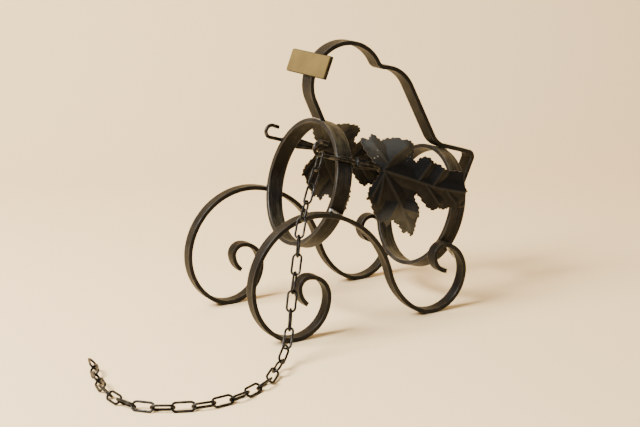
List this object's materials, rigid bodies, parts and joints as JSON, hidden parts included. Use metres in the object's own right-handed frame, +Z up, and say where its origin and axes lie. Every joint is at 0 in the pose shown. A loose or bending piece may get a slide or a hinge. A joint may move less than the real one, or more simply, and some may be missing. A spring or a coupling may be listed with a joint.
{
  "type": "wine rack",
  "caption": "Wrought-iron cradle for one wine bottle, shaped like a small cannon carriage, with scroll feet, leaves, a carrying handle, a blank plaque and a loose chain",
  "frame": {"origin": "On the ground, below the middle of the cradle's own outline without its chain.", "axes": "+Y runs from the neck end of the bottle (front ring) to its base (rear ring), +X is the right-hand side, where the chain hangs, and +Z is up."},
  "size_m": [0.1737, 0.3194, 0.1868],
  "materials": {
    "forged_iron": "dark oiled forged iron with worn lighter edges",
    "leaf_iron": "dark blue-grey pressed sheet with a soft sheen",
    "weld_metal": "ground bright weld metal",
    "plaque_brass": "satin tan brass, blank",
    "chain_iron": "dark iron wire with worn edges"
  },
  "bodies": {
    "rack": {"front_ring": "forged_iron", "handle": "forged_iron", "left_foot": "forged_iron", "left_leaf": "leaf_iron", "left_rod": "forged_iron", "plaque_face": "plaque_brass", "plaque_plate": "forged_iron", "rear_ring": "forged_iron", "right_foot": "forged_iron", "right_leaf": "leaf_iron", "right_rod": "forged_iron", "weld_foot_front_left": "weld_metal", "weld_foot_front_right": "weld_metal", "weld_foot_rear_left": "weld_metal", "weld_foot_rear_right": "weld_metal", "weld_handle_front": "weld_metal", "weld_handle_rear": "weld_metal", "weld_leaf_ring_left": "weld_metal", "weld_leaf_ring_right": "weld_metal", "weld_leaf_stem_left": "weld_metal", "weld_leaf_stem_right": "weld_metal", "weld_rod_left": "weld_metal", "weld_rod_right": "weld_metal", "chain_link_01": "chain_iron", "chain_link_02": "chain_iron", "chain_link_03": "chain_iron", "chain_link_04": "chain_iron", "chain_link_05": "chain_iron", "chain_link_06": "chain_iron", "chain_link_07": "chain_iron", "chain_link_08": "chain_iron", "chain_link_09": "chain_iron", "chain_link_10": "chain_iron", "chain_link_11": "chain_iron", "chain_link_12": "chain_iron", "chain_link_13": "chain_iron", "chain_link_14": "chain_iron", "chain_link_15": "chain_iron", "chain_link_16": "chain_iron", "chain_link_17": "chain_iron"},
    "chain_mid": {"chain_link_18": "chain_iron", "chain_link_19": "chain_iron", "chain_link_20": "chain_iron"},
    "chain_outer": {"chain_link_21": "chain_iron", "chain_link_22": "chain_iron", "chain_link_23": "chain_iron"},
    "chain_tail": {"chain_link_24": "chain_iron", "chain_link_25": "chain_iron", "chain_link_26": "chain_iron"},
    "chain_end": {"chain_link_27": "chain_iron", "chain_link_28": "chain_iron", "chain_link_29": "chain_iron"}
  },
  "joints": [
    {"name": "chain_mid_swing", "type": "hinge", "parent": "rack", "child": "chain_mid", "pos_m": [0.11981, -0.1551, 0.0028], "axis": [0, 0, 1], "range_deg": [-22, 22]},
    {"name": "chain_outer_swing", "type": "hinge", "parent": "chain_mid", "child": "chain_outer", "pos_m": [0.11328, -0.18924, 0.0028], "axis": [0, 0, 1], "range_deg": [-22, 22]},
    {"name": "chain_tail_swing", "type": "hinge", "parent": "chain_outer", "child": "chain_tail", "pos_m": [0.08745, -0.21153, 0.0028], "axis": [0, 0, 1], "range_deg": [-17, 22]},
    {"name": "chain_end_swing", "type": "hinge", "parent": "chain_tail", "child": "chain_end", "pos_m": [0.05227, -0.21029, 0.0028], "axis": [0, 0, 1], "range_deg": [-22, 22]}
  ]
}
